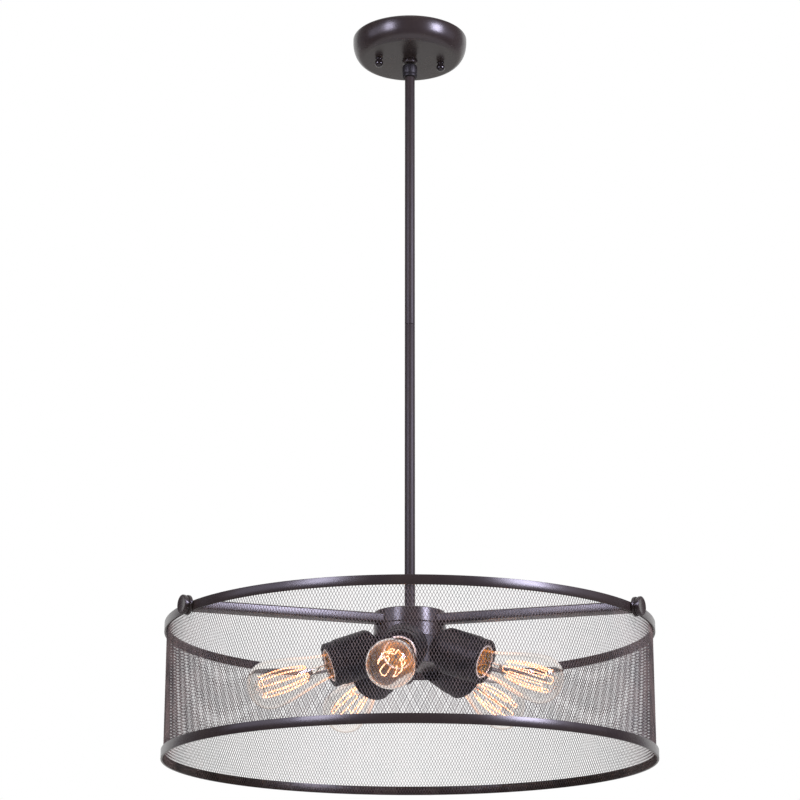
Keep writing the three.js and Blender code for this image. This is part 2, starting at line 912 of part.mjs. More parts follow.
const drum = subgroup(chandelier, (group) => group.translateZ(-drumTopDepth));
add(drum, "arm_hub", armHub(), bronze);
add(drum, "socket_hub", socketHub(), bronze);
add(drum, "hickey", hickey(), steel);
add(drum, "hub_cover", hubCover(), bronze);
add(drum, "finial", finial(), bronze);
add(drum, "top_band", cut(band(-bandHeight), ...studHoles()), bronze);
add(drum, "bottom_band", band(-drumHeight), bronze);
add(drum, "mesh_wall", expandedWall(), meshBronze);

for (let index = 0; index < armCount; index++) {
  const spoke = subgroup(drum, (group) => group.rotateZ(armTurn(index)));
  add(spoke, `arm_${index + 1}`, arm(), bronze);
  const outward = subgroup(spoke, (group) => group.translateZ(-knobDrop).rotateY(Math.PI / 2));
  add(outward, `knob_stud_${index + 1}`, knobStud(), steel);
  add(outward, `knob_${index + 1}`, knob(), bronze);
}

for (let index = 0; index < socketCount; index++) {
  const turn = subgroup(drum, (group) => group.rotateZ(socketTurn(index)));
  const socket = subgroup(turn, (group) =>
    group.translateZ(apexHeight()).rotateY(Math.PI / 2 + socketTilt),
  );
  const number = index + 1;
  add(socket, `socket_cup_${number}`, socketCup(), blackPlastic);
  add(socket, `lampholder_${number}`, lampholder(), brass);
  add(socket, `bulb_contact_${number}`, bulbContact(), steel);
  add(socket, `bulb_base_${number}`, bulbBase(), brass);
  add(socket, `bulb_glass_${number}`, bulbGlass(), clearGlass);
  add(socket, `bulb_filament_${number}`, bulbMount(), glowFilament);
}

export default chandelier;
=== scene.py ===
"""Drum chandelier with an expanded metal wall: its looks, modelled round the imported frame."""

import json
import math

import bmesh
import bpy
from bpy.props import FloatProperty, FloatVectorProperty, IntProperty, PointerProperty
from bpy.types import Operator, Panel, PropertyGroup
from mathutils import Matrix, Vector


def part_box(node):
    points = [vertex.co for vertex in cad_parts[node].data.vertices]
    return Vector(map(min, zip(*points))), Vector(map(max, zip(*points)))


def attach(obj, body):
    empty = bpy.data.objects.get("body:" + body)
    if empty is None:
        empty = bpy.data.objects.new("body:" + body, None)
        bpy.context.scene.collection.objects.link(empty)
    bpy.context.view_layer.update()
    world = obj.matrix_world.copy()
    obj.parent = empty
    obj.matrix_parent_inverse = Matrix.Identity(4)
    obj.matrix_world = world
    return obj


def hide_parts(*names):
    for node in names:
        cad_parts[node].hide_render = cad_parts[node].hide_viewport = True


bl_info = {
    "name": "Drum chandelier",
    "version": (1, 0, 0),
    "blender": (4, 5, 0),
    "location": "3D View > Sidebar > Chandelier",
    "description": "Models a drum chandelier with an expanded metal wall, piece by piece",
    "category": "Object",
}

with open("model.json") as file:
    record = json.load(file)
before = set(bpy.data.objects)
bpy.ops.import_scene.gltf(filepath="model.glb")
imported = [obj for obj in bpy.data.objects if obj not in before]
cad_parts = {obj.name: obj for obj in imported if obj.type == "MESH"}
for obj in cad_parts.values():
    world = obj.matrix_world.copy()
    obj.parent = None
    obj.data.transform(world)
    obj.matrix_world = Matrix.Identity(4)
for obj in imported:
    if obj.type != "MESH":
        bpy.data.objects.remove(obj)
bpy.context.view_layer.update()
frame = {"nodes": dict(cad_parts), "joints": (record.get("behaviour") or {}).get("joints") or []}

MM = 0.001
FULL_TURN = 2 * math.pi
SHARP = math.radians(32)
SOFT = math.radians(50)
MERGE = 1e-6
GRAIN_DEPTH = 0.02 * MM

JOINTS = {joint["name"]: joint for joint in frame["joints"]}


def joint_turn(name):
    """The turn about Z that a joint's axis points in."""
    across, along, _ = JOINTS[name]["axis"]
    return math.atan2(along, across)


# Places of the assembly, in metres with the ceiling at zero, and turns about Z
DRUM_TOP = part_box("top_band")[1].z
DRUM_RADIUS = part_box("top_band")[1].x
DRUM_HEIGHT = DRUM_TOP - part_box("bottom_band")[0].z
CANOPY_DEPTH = -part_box("canopy")[0].z
ARM_HUB_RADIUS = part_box("arm_hub")[1].x
SOCKET_HUB_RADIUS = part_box("socket_hub")[1].x
PIVOT = JOINTS["swivel_side_tilt"]["pos_m"][2]
CANOPY_TURN = math.radians(9.5)
STUD_REACH = 34.925 * MM
ARM_TURNS = [joint_turn(f"knob_{number}_turn") for number in (1, 2, 3)]
KNOB_DROP = DRUM_TOP - JOINTS["knob_1_turn"]["pos_m"][2]
SOCKET_TURNS = [joint_turn(f"bulb_{number}_turn") for number in range(1, 6)]
SOCKET_TILT = -math.asin(JOINTS["bulb_1_turn"]["axis"][2])
APEX = JOINTS["bulb_1_turn"]["pos_m"][2]
MOUTH = 85 * MM / math.cos(SOCKET_TILT)
BULB_FOOT = MOUTH - 31 * MM

# Sizes of hubs, arms, bulbs and gaps, in millimetres
HUB_WALL = 2.5
ARM_WIDTH = 19
ARM_DEPTH = 9.5
ARM_RISE = 5.8
GLASS_WALL = 0.9
SCREW_PITCH = 3.63
SLIP_GAP = 0.3


class ChandelierSizes(PropertyGroup):
    """Sizes of the visible pieces."""

    canopy_radius: FloatProperty(
        name="Canopy radius", description="Outer radius of the ceiling canopy",
        default=63.5 * MM, unit="LENGTH")
    canopy_depth: FloatProperty(
        name="Canopy depth", description="How far the canopy's face hangs below the ceiling",
        default=CANOPY_DEPTH, unit="LENGTH")
    rod_radius: FloatProperty(
        name="Stem radius", description="Outer radius of the two stems",
        default=5.5 * MM, unit="LENGTH")
    band_height: FloatProperty(
        name="Band height", description="Height of the drum's two bands",
        default=9.5 * MM, unit="LENGTH")
    mesh_columns: IntProperty(
        name="Diamonds around", description="Diamonds in one row of the wall, a multiple of six",
        default=492)
    mesh_rows: IntProperty(
        name="Diamonds high", description="Rows of diamonds in the drum wall",
        default=22)
    strand_width: FloatProperty(
        name="Strand width", description="Width of the metal between two diamonds",
        default=0.385 * MM, unit="LENGTH")
    sheet_thickness: FloatProperty(
        name="Sheet thickness", description="Thickness of the expanded sheet",
        default=0.24 * MM, unit="LENGTH")
    strand_slant: FloatProperty(
        name="Strand slant", description="How far a strand's lower edge stands outside its middle",
        default=0.14 * MM, unit="LENGTH")
    cup_radius: FloatProperty(
        name="Cup radius", description="Outer radius of a socket cup",
        default=23.9 * MM, unit="LENGTH")
    glass_radius: FloatProperty(
        name="Bulb radius", description="Outer radius of a bulb where it is widest",
        default=24.8 * MM, unit="LENGTH")
    filament_legs: IntProperty(
        name="Filament legs", description="Upright strands in one bulb's cage",
        default=10)
    filament_radius: FloatProperty(
        name="Filament radius", description="Radius of the glowing strand",
        default=0.62 * MM, unit="LENGTH")


class ChandelierColours(PropertyGroup):
    """Colours of the finishes and the studio."""

    bronze: FloatVectorProperty(
        name="Dark bronze", description="Satin paint of the canopy, stems, hub, arms and bands",
        default=(0.0285, 0.021, 0.0175), subtype="COLOR")
    bronze_deep: FloatVectorProperty(
        name="Deep bronze", description="Darker patches of the bronze paint",
        default=(0.024, 0.018, 0.017), subtype="COLOR")
    sheet: FloatVectorProperty(
        name="Mesh bronze", description="Paint on the expanded metal",
        default=(0.115, 0.082, 0.066), subtype="COLOR")
    black: FloatVectorProperty(
        name="Socket black", description="Matte black of the socket cups",
        default=(0.008, 0.007, 0.007), subtype="COLOR")
    lining: FloatVectorProperty(
        name="Socket lining", description="Gold brown screw shell inside a socket",
        default=(0.24, 0.165, 0.06), subtype="COLOR")
    rim: FloatVectorProperty(
        name="Socket rim", description="Pale rolled edge at a socket's mouth",
        default=(0.95, 0.83, 0.72), subtype="COLOR")
    brass: FloatVectorProperty(
        name="Bulb base", description="Screw base of the bulbs",
        default=(0.6, 0.4, 0.14), subtype="COLOR")
    glass: FloatVectorProperty(
        name="Bulb glass", description="Clear glass with a faint warm tint",
        default=(1.0, 0.99, 0.97), subtype="COLOR")
    glow: FloatVectorProperty(
        name="Filament glow", description="Colour of the hottest part of the strand",
        default=(1.0, 0.68, 0.42), subtype="COLOR")
    glow_edge: FloatVectorProperty(
        name="Filament ember", description="Colour of the cooler parts of the strand",
        default=(1.0, 0.23, 0.08), subtype="COLOR")
    # Painted glow: an amber emission on the bulb glass that stands in for the filament's light
    # reflected in it.
    amber: FloatVectorProperty(
        name="Amber veil", description="Glow of the filament caught in a bulb's glass",
        default=(1.0, 0.33, 0.05), subtype="COLOR")
    zinc: FloatVectorProperty(
        name="Zinc", description="Plated steel of the hardware inside",
        default=(0.4, 0.41, 0.43), subtype="COLOR")
    floor: FloatVectorProperty(
        name="Floor", description="Pale studio floor",
        default=(0.86, 0.86, 0.86), subtype="COLOR")
    lamp: FloatVectorProperty(
        name="Lamp", description="Cool tint of the soft lamps",
        default=(0.8, 0.76, 1.0), subtype="COLOR")


# Modelling with operators


def named(piece, name):
    piece.name = name
    piece.data.name = name
    return piece


def begin(name, primitive, **size):
    """Add a primitive with nothing else selected and open it for editing."""
    bpy.ops.object.select_all(action="DESELECT")
    primitive(**size)
    piece = named(bpy.context.object, name)
    bpy.ops.object.mode_set(mode="EDIT")
    bpy.ops.mesh.select_mode(type="VERT")
    bpy.ops.mesh.select_all(action="SELECT")
    return piece


def close_edit(weld=MERGE):
    """Merge doubles, point the faces outwards and leave edit mode."""
    bpy.ops.mesh.select_all(action="SELECT")
    bpy.ops.mesh.remove_doubles(threshold=weld)
    bpy.ops.mesh.normals_make_consistent(inside=False)
    bpy.ops.object.mode_set(mode="OBJECT")


def pick(piece, test):
    """Select the vertices whose places pass a test, with the edges and faces between them."""
    bpy.ops.mesh.select_all(action="DESELECT")
    shape = bmesh.from_edit_mesh(piece.data)
    for vertex in shape.verts:
        vertex.select = bool(test(vertex.co))
    shape.select_flush(True)
    bmesh.update_edit_mesh(piece.data)


def activate(piece):
    bpy.ops.object.select_all(action="DESELECT")
    piece.select_set(True)
    bpy.context.view_layer.objects.active = piece


def settle(piece, place):
    """Put the piece at its place and apply that place to its mesh."""
    activate(piece)
    piece.matrix_world = place @ piece.matrix_world
    bpy.ops.object.transform_apply(location=True, rotation=True, scale=True)
    return piece


def copied(piece, name, place):
    """A copy with its own mesh, moved from the model's place."""
    activate(piece)
    bpy.ops.object.duplicate(linked=False)
    return settle(named(bpy.context.object, name), place)


def modified(piece, kind, **settings):
    """Add one modifier with its settings and apply it."""
    activate(piece)
    modifier = piece.modifiers.new(kind.lower(), kind)
    for key, value in settings.items():
        setattr(modifier, key, value)
    bpy.ops.object.modifier_apply(modifier=modifier.name)
    return piece


def rounded(piece, width, segments=3, angle=SHARP):
    return modified(
        piece, "BEVEL", width=width, segments=segments, limit_method="ANGLE",
        angle_limit=angle)


def smooth(piece, angle=SHARP):
    activate(piece)
    bpy.ops.object.shade_smooth_by_angle(angle=angle)
    return piece


def discard(*models):
    for model in models:
        bpy.data.objects.remove(model)


def cut_with(piece, *tools):
    """Subtract other closed shapes, then remove them."""
    for tool in tools:
        modified(piece, "BOOLEAN", operation="DIFFERENCE", object=tool, solver="EXACT")
    discard(*tools)
    return piece


def drawn(name, points):
    """A chain of edges drawn from a collapsed plane; the piece stays open for editing."""
    piece = begin(name, bpy.ops.mesh.primitive_plane_add, size=MM)
    bpy.ops.mesh.merge(type="CENTER")
    bpy.ops.transform.translate(value=Vector(points[0]))
    for here, there in zip(points, points[1:]):
        step = Vector(there) - Vector(here)
        bpy.ops.mesh.extrude_vertices_move(TRANSFORM_OT_translate={"value": step})
    return piece


def turned(name, profile, sides):
    """A profile of (radius, height) points in millimetres, drawn and spun about Z."""
    points = [(radius * MM, 0, height * MM) for radius, height in profile]
    piece = drawn(name, points)
    bpy.ops.mesh.select_all(action="SELECT")
    bpy.ops.mesh.spin(steps=sides, angle=FULL_TURN, center=(0, 0, 0), axis=(0, 0, 1))
    close_edit()
    return piece


def tube(inner, outer, start, end):
    """The closed profile of a plain tube in millimetres."""
    return [(inner, start), (outer, start), (outer, end), (inner, end), (inner, start)]


def plug(name, radius, start, end):
    """A cylinder between two heights in millimetres, to cut a hole with."""
    return turned(name, [(0, start), (radius, start), (radius, end), (0, end)], 24)


def bar(name, corner_a, corner_b):
    """A box between two corners in millimetres."""
    low, high = Vector(corner_a) * MM, Vector(corner_b) * MM
    piece = begin(name, bpy.ops.mesh.primitive_cube_add, size=1)
    bpy.ops.transform.resize(value=high - low, center_override=(0, 0, 0))
    bpy.ops.transform.translate(value=(low + high) / 2)
    close_edit()
    return piece


def wire(name, points, radius):
    """A round wire along points in metres: a drawn chain made a bevelled curve and a mesh again."""
    piece = drawn(name, points)
    bpy.ops.object.mode_set(mode="OBJECT")
    activate(piece)
    bpy.ops.object.convert(target="CURVE")
    curve = bpy.context.object
    curve.data.bevel_depth = radius
    curve.data.bevel_resolution = 1
    curve.data.use_fill_caps = True
    bpy.ops.object.convert(target="MESH")
    piece = named(bpy.context.object, name)
    bpy.ops.object.mode_set(mode="EDIT")
    close_edit()
    return smooth(piece, SOFT)


def joined(name, pieces):
    """Several pieces as one object."""
    activate(pieces[0])
    for piece in pieces[1:]:
        piece.select_set(True)
    bpy.ops.object.join()
    return named(bpy.context.object, name)


def arc(centre_radius, centre_height, radius, start, end, steps):
    """Profile points on a circle, from one angle above the horizontal to another, in degrees."""
    points = []
    for step in range(steps + 1):
        angle = math.radians(start + (end - start) * step / steps)
        points.append(
            (centre_radius + radius * math.cos(angle), centre_height + radius * math.sin(angle)))
    return points


def thread(root, crest, start, end, pitch):
    """Profile points of rounded thread ridges between two heights."""
    points = []
    steps = 6
    count = max(1, round(abs(end - start) / pitch))
    for step in range(count * steps + 1):
        share = step / (count * steps)
        swing = (1 - math.cos(FULL_TURN * share * count)) / 2
        points.append((root + (crest - root) * swing, start + (end - start) * share))
    return points


def about_z(angle):
    return Matrix.Rotation(angle, 4, "Z")


def about_y(angle):
    return Matrix.Rotation(angle, 4, "Y")


def moved(across=0, up=0):
    return Matrix.Translation((across, 0, up))


def drum_place(angle=0):
    return about_z(angle) @ moved(up=DRUM_TOP)


def socket_place(index):
    return about_z(SOCKET_TURNS[index]) @ moved(up=APEX) @ about_y(math.pi / 2 + SOCKET_TILT)


# Shader nodes


def feed(tree, target, inputs):
    """Set plain values on a node's own sockets and link the others."""
    for key, value in inputs.items():
        socket = target.inputs[key]
        if isinstance(value, bpy.types.NodeSocket):
            tree.links.new(value, socket)
        else:
            socket.default_value = value


def node(tree, kind, inputs=None, **settings):
    """Add a shader node; inputs are values or sockets to link."""
    made = tree.nodes.new(kind)
    for key, value in settings.items():
        setattr(made, key, value)
    feed(tree, made, inputs or {})
    return made


def blend(tree, share, low, high):
    """A mix of two colours, each a value or a socket."""
    return node(tree, "ShaderNodeMix", {0: share, 6: low, 7: high}, data_type="RGBA").outputs[2]


def new_material(name):
    """A material with its node tree and its shader."""
    material = bpy.data.materials.new(name)
    material.use_nodes = True
    tree = material.node_tree
    return material, tree, tree.nodes["Principled BSDF"]


def shaded(tree, shader, **values):
    """Feed a shader; an underscore stands for the space in a socket's name."""
    feed(tree, shader, {title.replace("_", " "): value for title, value in values.items()})


def darker(colour, share):
    return tuple(share * part for part in colour)


def level_by_ray(tree, rays, unseen, seen):
    """One level for the rays that see the surroundings and one for the light they give."""
    path = node(tree, "ShaderNodeLightPath").outputs
    share = path[rays[0]]
    for ray in rays[1:]:
        either = node(tree, "ShaderNodeMath", {0: share, 1: path[ray]}, operation="MAXIMUM")
        share = either.outputs[0]
    level = node(tree, "ShaderNodeMapRange", {"Value": share, "To Min": unseen, "To Max": seen})
    return level.outputs["Result"]


def new_group(name, inputs, outputs):
    """A node group with its input sockets and its output node."""
    tree = bpy.data.node_groups.new(name, "ShaderNodeTree")
    for title, kind in inputs:
        tree.interface.new_socket(title, in_out="INPUT", socket_type=kind)
    for title, kind in outputs:
        tree.interface.new_socket(title, in_out="OUTPUT", socket_type=kind)
    return tree, tree.nodes.new("NodeGroupInput").outputs, tree.nodes.new("NodeGroupOutput")


def paint_grain_group():
    """Soft patches and fine speckle in colour and roughness, with a grain height."""
    tint, level = "NodeSocketColor", "NodeSocketFloat"
    tree, given, result = new_group(
        "paint_grain",
        [("Color", tint), ("Deep Color", tint), ("Patch Scale", level), ("Grain Scale", level),
         ("Speckle", level), ("Roughness", level), ("Spread", level)],
        [("Color", tint), ("Roughness", level), ("Height", level)])
    place = node(tree, "ShaderNodeTexCoord").outputs["Object"]
    patches = node(tree, "ShaderNodeTexNoise", {
        "Vector": place, "Scale": given["Patch Scale"], "Detail": 4.0, "Roughness": 0.55})
    grain = node(tree, "ShaderNodeTexNoise", {
        "Vector": place, "Scale": given["Grain Scale"], "Detail": 2.0, "Roughness": 0.6})
    patch = node(tree, "ShaderNodeMapRange", {
        "Value": patches.outputs["Fac"], "From Min": 0.35, "From Max": 0.65})
    colour = blend(tree, patch.outputs["Result"], given["Deep Color"], given["Color"])
    speck = node(tree, "ShaderNodeMapRange", {
        "Value": grain.outputs["Fac"], "From Min": 0.3, "From Max": 0.7,
        "To Min": -1.0, "To Max": 1.0})
    speck = node(tree, "ShaderNodeMath", {
        0: speck.outputs["Result"], 1: given["Speckle"], 2: 1.0}, operation="MULTIPLY_ADD")
    tinted = node(tree, "ShaderNodeVectorMath", {
        0: colour, "Scale": speck.outputs["Value"]}, operation="SCALE")
    uneven = node(tree, "ShaderNodeMath", {
        0: patches.outputs["Fac"], 1: -0.5}, operation="ADD")
    uneven = node(tree, "ShaderNodeMath", {
        0: uneven.outputs["Value"], 1: given["Spread"], 2: given["Roughness"]},
        operation="MULTIPLY_ADD")
    feed(tree, result, {"Color": tinted.outputs["Vector"], "Roughness": uneven.outputs["Value"],
                        "Height": grain.outputs["Fac"]})


def painted(name, colour, deep, roughness, patch=30.0, grain=900.0, speckle=0.08, spread=0.2,
            bump=0.15, **shader_values):
    """A finish with patches, speckle and a fine grain."""
    _, tree, shader = new_material(name)
    group = node(tree, "ShaderNodeGroup", {
        "Color": (*colour, 1), "Deep Color": (*deep, 1), "Patch Scale": patch,
        "Grain Scale": grain, "Speckle": speckle, "Roughness": roughness, "Spread": spread},
        node_tree=bpy.data.node_groups["paint_grain"])
    raised = node(tree, "ShaderNodeBump", {
        "Strength": bump, "Distance": GRAIN_DEPTH, "Height": group.outputs["Height"]})
    shaded(tree, shader, Base_Color=group.outputs["Color"], Roughness=group.outputs["Roughness"],
           Normal=raised.outputs["Normal"], **shader_values)


def glass_material(colours):
    """Clear blown glass, faintly wavy, with a painted amber glow near its neck that stands in for
    the filament's light caught in the glass.
    """
    _, tree, shader = new_material("bulb_glass_clear")
    place = node(tree, "ShaderNodeTexCoord").outputs["Object"]
    waves = node(tree, "ShaderNodeTexNoise", {"Vector": place, "Scale": 55.0, "Detail": 1.0})
    raised = node(tree, "ShaderNodeBump", {
        "Strength": 0.12, "Distance": 0.2 * MM, "Height": waves.outputs["Fac"]})
    # Painted glow on the glass: amber emission that fades from 95 to 132 mm off the drum's upright
    # axis, so it is strongest near the necks, and is strongest where the glass is seen edge on.
    level = node(tree, "ShaderNodeVectorMath", {0: place, 1: (1.0, 1.0, 0.0)}, operation="MULTIPLY")
    reach = node(tree, "ShaderNodeVectorMath", {0: level.outputs["Vector"]}, operation="LENGTH")
    fading = node(tree, "ShaderNodeMapRange", {
        "Value": reach.outputs["Value"], "From Min": 95 * MM, "From Max": 132 * MM,
        "To Min": 1.0, "To Max": 0.06})
    grazing = node(tree, "ShaderNodeMapRange", {
        "Value": node(tree, "ShaderNodeLayerWeight", {"Blend": 0.5}).outputs["Facing"],
        "From Min": 0.45, "From Max": 0.9})
    share = node(tree, "ShaderNodeMath", {
        0: fading.outputs["Result"], 1: grazing.outputs["Result"]}, operation="MULTIPLY")
    glow = blend(tree, share.outputs["Value"], (0, 0, 0, 1), (*colours.amber, 1))
    shaded(tree, shader, Base_Color=(*colours.glass, 1), Transmission_Weight=1, Roughness=0.01,
           IOR=1.46, Normal=raised.outputs["Normal"], Emission_Color=glow, Emission_Strength=0.8)


def glow_material(colours):
    """Incandescent strand, hotter and cooler along its length."""
    _, tree, shader = new_material("filament_glow")
    place = node(tree, "ShaderNodeTexCoord").outputs["Object"]
    heat = node(tree, "ShaderNodeTexNoise", {"Vector": place, "Scale": 900.0, "Detail": 1.0})
    share = node(tree, "ShaderNodeMapRange", {
        "Value": heat.outputs["Fac"], "From Min": 0.38, "From Max": 0.6})
    colour = blend(tree, share.outputs["Result"], (*colours.glow, 1), (*colours.glow_edge, 1))
    shaded(tree, shader, Base_Color=(0.05, 0.03, 0.02, 1), Roughness=0.6,
           Emission_Color=colour, Emission_Strength=3.6)


def dress(piece, body, slot, material, *nodes):
    """Give a finished piece its material and its body, and hide the CAD nodes it stands for; the
    slot is not used.
    """
    piece.data.materials.clear()
    piece.data.materials.append(bpy.data.materials[material])
    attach(piece, body)
    if nodes:
        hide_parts(*nodes)
    return piece


def bronzed(piece, *nodes, body="stem"):
    """Dress a piece in the dark bronze paint that most of the light wears."""
    return dress(piece, body, "dark_bronze", "dark_bronze_paint", *nodes)


def at_sockets(parts, body, angle=SHARP):
    """Copy each model to the five sockets, then smooth and dress it; {} stands for the number."""
    for number in range(1, 6):
        for model, title, slot, material, *nodes in parts:
            twin = smooth(copied(model, title.format(number), socket_place(number - 1)), angle)
            replaced = [name.format(number) for name in nodes]
            dress(twin, body.format(number), slot, material, *replaced)
            twin.visible_shadow = material != "bulb_glass_clear"
    discard(*(part[0] for part in parts))


def repaint(names, material):
    """Give CAD nodes that stay a finish of their own."""
    for name in names:
        cad = frame["nodes"][name]
        if not cad.material_slots:
            cad.data.materials.append(None)
        for slot in cad.material_slots:
            slot.material = bpy.data.materials[material]


# Operators


class CHANDELIER_OT_finishes(Operator):
    """Make the finishes that all pieces share"""

    bl_idname = "chandelier.finishes"
    bl_label = "Finishes"

    def execute(self, context):
        colours = context.scene.chandelier_colours
        paint_grain_group()
        painted("dark_bronze_paint", colours.bronze, colours.bronze_deep, grain=1400.0,
                speckle=0.12, roughness=0.27, spread=0.12, bump=0.2)
        painted("polished_bronze", colours.bronze_deep, colours.black, patch=60.0,
                grain=1800.0, roughness=0.12, spread=0.06, bump=0.05)
        painted("stem_paint", colours.bronze, colours.bronze_deep, grain=1400.0, speckle=0.12,
                roughness=0.46, spread=0.14, bump=0.2, Specular_IOR_Level=0.3)
        painted("barrel_paint", colours.black, colours.black, grain=1400.0, roughness=0.5,
                spread=0.1, bump=0.2, Specular_IOR_Level=0.35)
        painted("mesh_bronze_paint", colours.sheet, colours.bronze, patch=40.0, grain=1600.0,
                speckle=0.15, roughness=0.48, bump=0.1, Specular_IOR_Level=0.6)
        painted("socket_black", colours.black, darker(colours.black, 0.7), patch=60.0,
                grain=1500.0, speckle=0.2, roughness=0.42, bump=0.3, Specular_IOR_Level=0.12)
        # Painted glow: the lining also gets a faint brass-coloured emission, which stands in for
        # the filament's light falling on the screw shell.
        painted("socket_lining", colours.lining, darker(colours.lining, 0.6),
                patch=120.0, grain=2500.0, speckle=0.12, roughness=0.34, spread=0.3,
                Metallic=0.8, Emission_Color=(*colours.brass, 1), Emission_Strength=0.01)
        painted("socket_rim", colours.rim, darker(colours.rim, 0.8), patch=150.0,
                grain=2500.0, speckle=0.05, roughness=0.28, Metallic=0.4)
        painted("brass_shell", colours.brass, darker(colours.brass, 0.7), patch=90.0,
                grain=3000.0, speckle=0.1, roughness=0.3, spread=0.25, Metallic=1.0)
        painted("zinc_plate", colours.zinc, darker(colours.zinc, 0.75), patch=220.0,
                grain=2500.0, speckle=0.12, roughness=0.38, spread=0.3, Metallic=0.9)
        painted("black_glass", (0.012, 0.01, 0.012), (0.006, 0.006, 0.008), patch=200.0,
                roughness=0.15, spread=0.1)
        painted("wire_jacket", (0.012, 0.012, 0.014), (0.008, 0.008, 0.009), patch=150.0,
                roughness=0.6)
        painted("support_wire", (0.2, 0.16, 0.13), (0.12, 0.1, 0.08), patch=300.0,
                roughness=0.6, Metallic=0.9)
        glass_material(colours)
        glow_material(colours)
        return {"FINISHED"}


class CHANDELIER_OT_canopy(Operator):
    """Spin the canopy and its two ball nuts"""

    bl_idname = "chandelier.canopy"
    bl_label = "Canopy"

    def execute(self, context):
        sizes = context.scene.chandelier_sizes
        radius, depth = sizes.canopy_radius / MM, sizes.canopy_depth / MM
        face, edge, wall, hole, bore, steps = 51.0, 3.5, 1.2, 8.6, 2.4, 22

        def shell(inset):
            points = []
            for step in range(steps + 1):
                angle = math.pi / 2 * step / steps
                across = face + (radius - face - inset) * math.sin(angle)
                points.append((across, -edge - (depth - inset - edge) * math.cos(angle)))
            return [*points, (radius - inset, -0.5)]

        profile = [(hole, -depth), (hole + 18, -depth), *shell(0), (radius - 0.3, 0),
                   (radius - wall, 0), *reversed(shell(wall)), (hole, -depth + wall),
                   (hole, -depth)]
        canopy = turned("canopy_shell", profile, 128)
        tools = [settle(plug("stud_hole", bore, -depth - 4, -depth + 4), moved(side * STUD_REACH))
                 for side in (-1, 1)]
        settle(cut_with(canopy, *tools), about_z(CANOPY_TURN))
        bronzed(smooth(canopy), "canopy", body="ceiling_bracket")
        top = -depth - SLIP_GAP
        ball = -depth - 5.6
        bore_floor = -depth - 8.6
        profile = [*arc(0, ball, 4.75, -90, 44, 18), (3.4, top - 1.2), (3.4, top - 0.8),
                   (4.1, top - 0.7), (4.2, top - 0.1), (4.0, top), (bore, top),
                   (bore, bore_floor), (0, bore_floor)]
        nut = rounded(turned("ball_nut", profile, 40), 0.15 * MM, 2)
        for side, name in ((-1, "left"), (1, "right")):
            place = about_z(CANOPY_TURN) @ moved(side * STUD_REACH)
            twin = smooth(copied(nut, f"ball_nut_{name}_turned", place))
            dress(twin, f"ball_nut_{name}", "dark_bronze", "polished_bronze", f"ball_nut_{name}")
        discard(nut)
        repaint(["crossbar", "canopy_stud_left", "canopy_stud_right"], "zinc_plate")
        return {"FINISHED"}


class CHANDELIER_OT_swivel(Operator):
    """Turn the swivel's ball stud and barrel"""

    bl_idname = "chandelier.swivel"
    bl_label = "Swivel"

    def execute(self, context):
        face, pivot = -CANOPY_DEPTH / MM, PIVOT / MM
        ball, seat_wall = 4.8, 1.2
        ring_low = face - 4
        flange = face + 1.5
        profile = [(1.7, -0.4), (1.7, pivot - 4.4), *arc(0, pivot, ball, -69, 57, 14),
                   (2.6, ring_low), *arc(6.3, ring_low + 1.7, 1.7, -90, 0, 6),
                   *arc(6.3, face - 0.9, 1.7, 0, 40, 3), (7.4, flange), (10.6, flange),
                   (10.8, flange + 0.3), (10.8, flange + 1.8), (10.5, flange + 2),
                   (4.85, flange + 2), *thread(4.85, 4.5, flange + 2.8, -0.8, 1.3),
                   (4.6, -0.4), (1.7, -0.4)]
        stud = turned("ball_stud", profile, 48)
        nut = turned("lock_nut", tube(4.4, 9, -2.3, -7.3), 6)
        rounded(nut, 0.5 * MM, 2, math.radians(40))
        whole = joined("swivel_ball_stud_turned", [stud, nut])
        settle(smooth(whole), about_z(CANOPY_TURN))
        bronzed(whole, "swivel_ball_stud", body="ceiling_bracket")
        cavity = ball + seat_wall + 2 * SLIP_GAP
        low = pivot - 9
        top = ring_low - 2.8
        profile = [(5.8, low), (7.1, low), *arc(7.1, low + 1.1, 1.1, -85, 0, 6),
                   *arc(7.8, low + 3.2, 0.4, 0, 90, 3), (7.7, low + 3.8), (7.9, low + 4.2),
                   (8.1, low + 4.6), *arc(7.1, top - 1.0, 1.0, 0, 85, 5), (5.6, top),
                   *arc(0, pivot, cavity, 35.1, -28.5, 8), (5.8, low)]
        barrel = turned("swivel_barrel_turned", profile, 64)
        rib = bar("barrel_rib", (7.6, -0.3, low + 4.8), (8.25, 0.3, top - 1.2))
        rounded(rib, 0.2 * MM, 2)
        count = 22
        ribs = [copied(rib, f"barrel_rib_{turn}", about_z(FULL_TURN * turn / count))
                for turn in range(count)]
        discard(rib)
        barrel = joined("swivel_barrel_turned", [barrel, *ribs])
        dress(smooth(barrel), "stem", "dark_bronze", "barrel_paint", "swivel_barrel")
        repaint(["swivel_seat"], "zinc_plate")
        return {"FINISHED"}


class CHANDELIER_OT_stem(Operator):
    """Turn the two stems with their soft ends"""

    bl_idname = "chandelier.stem"
    bl_label = "Stem"

    def execute(self, context):
        radius, bore = context.scene.chandelier_sizes.rod_radius / MM, 3.9
        for name in ("upper_rod", "lower_rod"):
            low, high = (corner.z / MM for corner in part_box(name))
            rod = turned(f"{name}_turned", tube(bore, radius, low, high), 56)
            rounded(rod, 0.35 * MM, 3)
            dress(smooth(rod), "stem", "dark_bronze", "stem_paint", name)
        repaint(["rod_joiner"], "zinc_plate")
        repaint(["stem_wire"], "wire_jacket")
        return {"FINISHED"}


